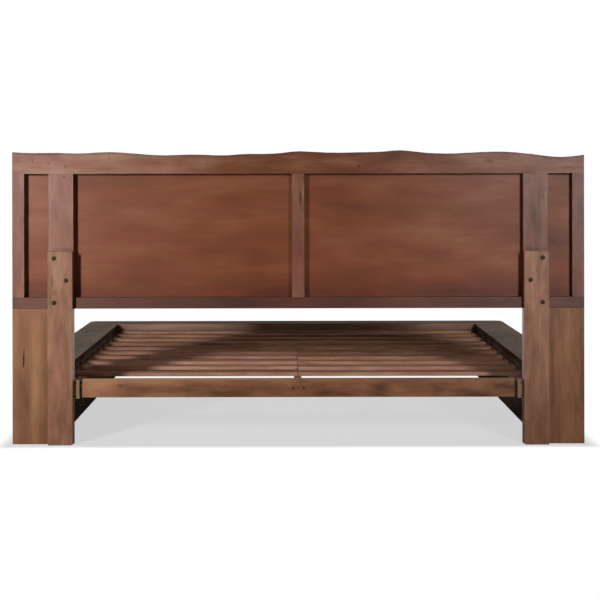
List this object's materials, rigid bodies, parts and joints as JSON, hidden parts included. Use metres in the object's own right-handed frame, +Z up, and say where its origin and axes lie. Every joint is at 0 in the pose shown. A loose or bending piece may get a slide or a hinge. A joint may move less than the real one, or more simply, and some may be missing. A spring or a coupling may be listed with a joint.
{
  "type": "platform bed",
  "caption": "Rustic platform bed in satin brown wood: live-edge headboard frame on wide legs, hooked stretcher, flat box rails round a slatted deck.",
  "frame": {"origin": "bottom centre of the bounding box, on the floor", "axes": "+Z up; +Y from the headboard to the foot; +X to the right as seen from behind the headboard"},
  "size_m": [2.3, 2.367, 1.1801],
  "materials": {
    "headboard_wood": "satin lacquer over brown-stained wood",
    "leg_wood": "satin lacquer over brown-stained wood",
    "platform_wood": "satin lacquer over brown-stained wood",
    "hidden_wood": "planed",
    "slat_wood": "planed and oiled",
    "dark_steel": "dark bronze coating",
    "plated_steel": "zinc plated",
    "glide_plastic": "matt"
  },
  "bodies": {
    "root": {"headboard_top_rail": "headboard_wood", "headboard_bottom_rail": "headboard_wood", "headboard_centre_stile": "headboard_wood", "headboard_inner_stile_right": "headboard_wood", "headboard_inner_stile_left": "headboard_wood", "headboard_outer_stile_right": "headboard_wood", "headboard_outer_stile_left": "headboard_wood", "headboard_plank_1": "headboard_wood", "headboard_plank_2": "headboard_wood", "headboard_plank_3": "headboard_wood", "headboard_plank_4": "headboard_wood", "leg_board_right": "leg_wood", "leg_board_left": "leg_wood", "post_right": "leg_wood", "post_left": "leg_wood", "stretcher": "leg_wood", "bracket_block_right": "leg_wood", "bracket_block_left": "leg_wood", "side_cap_right": "platform_wood", "side_cap_left": "platform_wood", "foot_cap": "platform_wood", "corner_post_right": "platform_wood", "corner_post_left": "platform_wood", "side_outer_board_right": "platform_wood", "side_outer_board_left": "platform_wood", "foot_outer_board": "platform_wood", "side_inner_board_right": "platform_wood", "side_inner_board_left": "platform_wood", "foot_inner_board": "platform_wood", "end_block_right": "hidden_wood", "end_block_left": "hidden_wood", "box_ribs": "hidden_wood", "ledger_right": "hidden_wood", "ledger_left": "hidden_wood", "centre_beam": "hidden_wood", "beam_cradle_head": "hidden_wood", "beam_cradle_foot": "hidden_wood", "centre_leg": "hidden_wood", "headboard_dowels": "hidden_wood", "mitre_splines": "hidden_wood", "slat_row_01": "slat_wood", "slat_row_02": "slat_wood", "slat_row_03": "slat_wood", "slat_row_04": "slat_wood", "slat_row_05": "slat_wood", "slat_row_06": "slat_wood", "slat_row_07": "slat_wood", "slat_row_08": "slat_wood", "slat_row_09": "slat_wood", "slat_row_10": "slat_wood", "slat_row_11": "slat_wood", "post_bolts": "dark_steel", "leg_slot_plates": "dark_steel", "stretcher_hook_plates": "dark_steel", "bed_bolts": "plated_steel", "bolt_inserts": "plated_steel", "frame_screws": "plated_steel", "plate_screws": "plated_steel", "centre_glide": "glide_plastic"}
  },
  "joints": []
}
